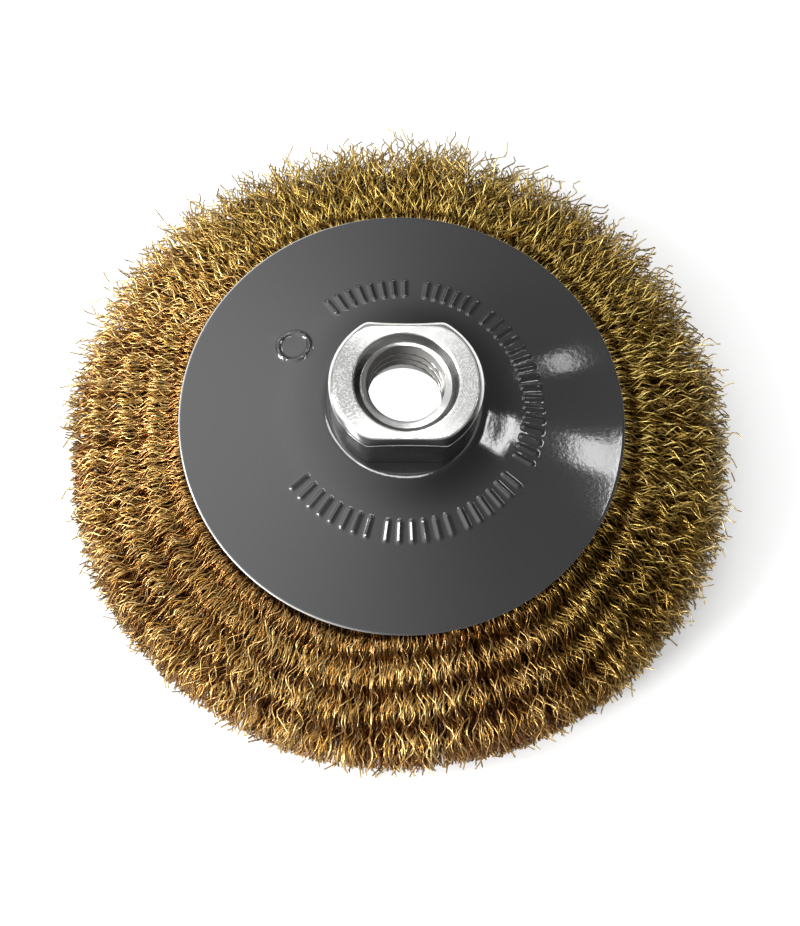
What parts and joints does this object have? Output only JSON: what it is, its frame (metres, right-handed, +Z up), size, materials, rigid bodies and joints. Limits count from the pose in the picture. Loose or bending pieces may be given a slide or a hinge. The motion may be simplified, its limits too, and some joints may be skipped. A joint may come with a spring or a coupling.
{
  "type": "bevel wire wheel brush",
  "caption": "Angle-grinder bevel wire wheel brush: crimped brass-coloured wire spread in a low cone between two pressed steel plates on a threaded spindle nut",
  "frame": {"origin": "on the spindle axis, at the level of the wire tips that the brush stands on", "axes": "+Z runs up the spindle axis to the nut's face, X runs along the nut's two spanner flats"},
  "size_m": [0.1149, 0.1147, 0.0335],
  "materials": {
    "nut_zinc": "bright zinc plate over turned steel",
    "plate_paint": "gloss dark grey paint",
    "ring_steel": "plain drawn steel",
    "crimped_wire": "brass-coated crimped steel wire"
  },
  "bodies": {
    "root": {"inner_plate": "plate_paint", "outer_plate": "plate_paint", "retaining_ring": "ring_steel", "spindle_nut": "nut_zinc", "wire_hank_01": "crimped_wire", "wire_hank_02": "crimped_wire", "wire_hank_03": "crimped_wire", "wire_hank_04": "crimped_wire", "wire_hank_05": "crimped_wire", "wire_hank_06": "crimped_wire", "wire_hank_07": "crimped_wire", "wire_hank_08": "crimped_wire", "wire_hank_09": "crimped_wire", "wire_hank_10": "crimped_wire", "wire_hank_11": "crimped_wire", "wire_hank_12": "crimped_wire", "wire_hank_13": "crimped_wire", "wire_hank_14": "crimped_wire", "wire_hank_15": "crimped_wire", "wire_hank_16": "crimped_wire", "wire_hank_17": "crimped_wire", "wire_hank_18": "crimped_wire", "wire_hank_19": "crimped_wire", "wire_hank_20": "crimped_wire", "wire_hank_21": "crimped_wire", "wire_hank_22": "crimped_wire", "wire_hank_23": "crimped_wire", "wire_hank_24": "crimped_wire", "wire_hank_25": "crimped_wire", "wire_hank_26": "crimped_wire", "wire_hank_27": "crimped_wire", "wire_hank_28": "crimped_wire", "wire_hank_29": "crimped_wire", "wire_hank_30": "crimped_wire"}
  },
  "joints": []
}
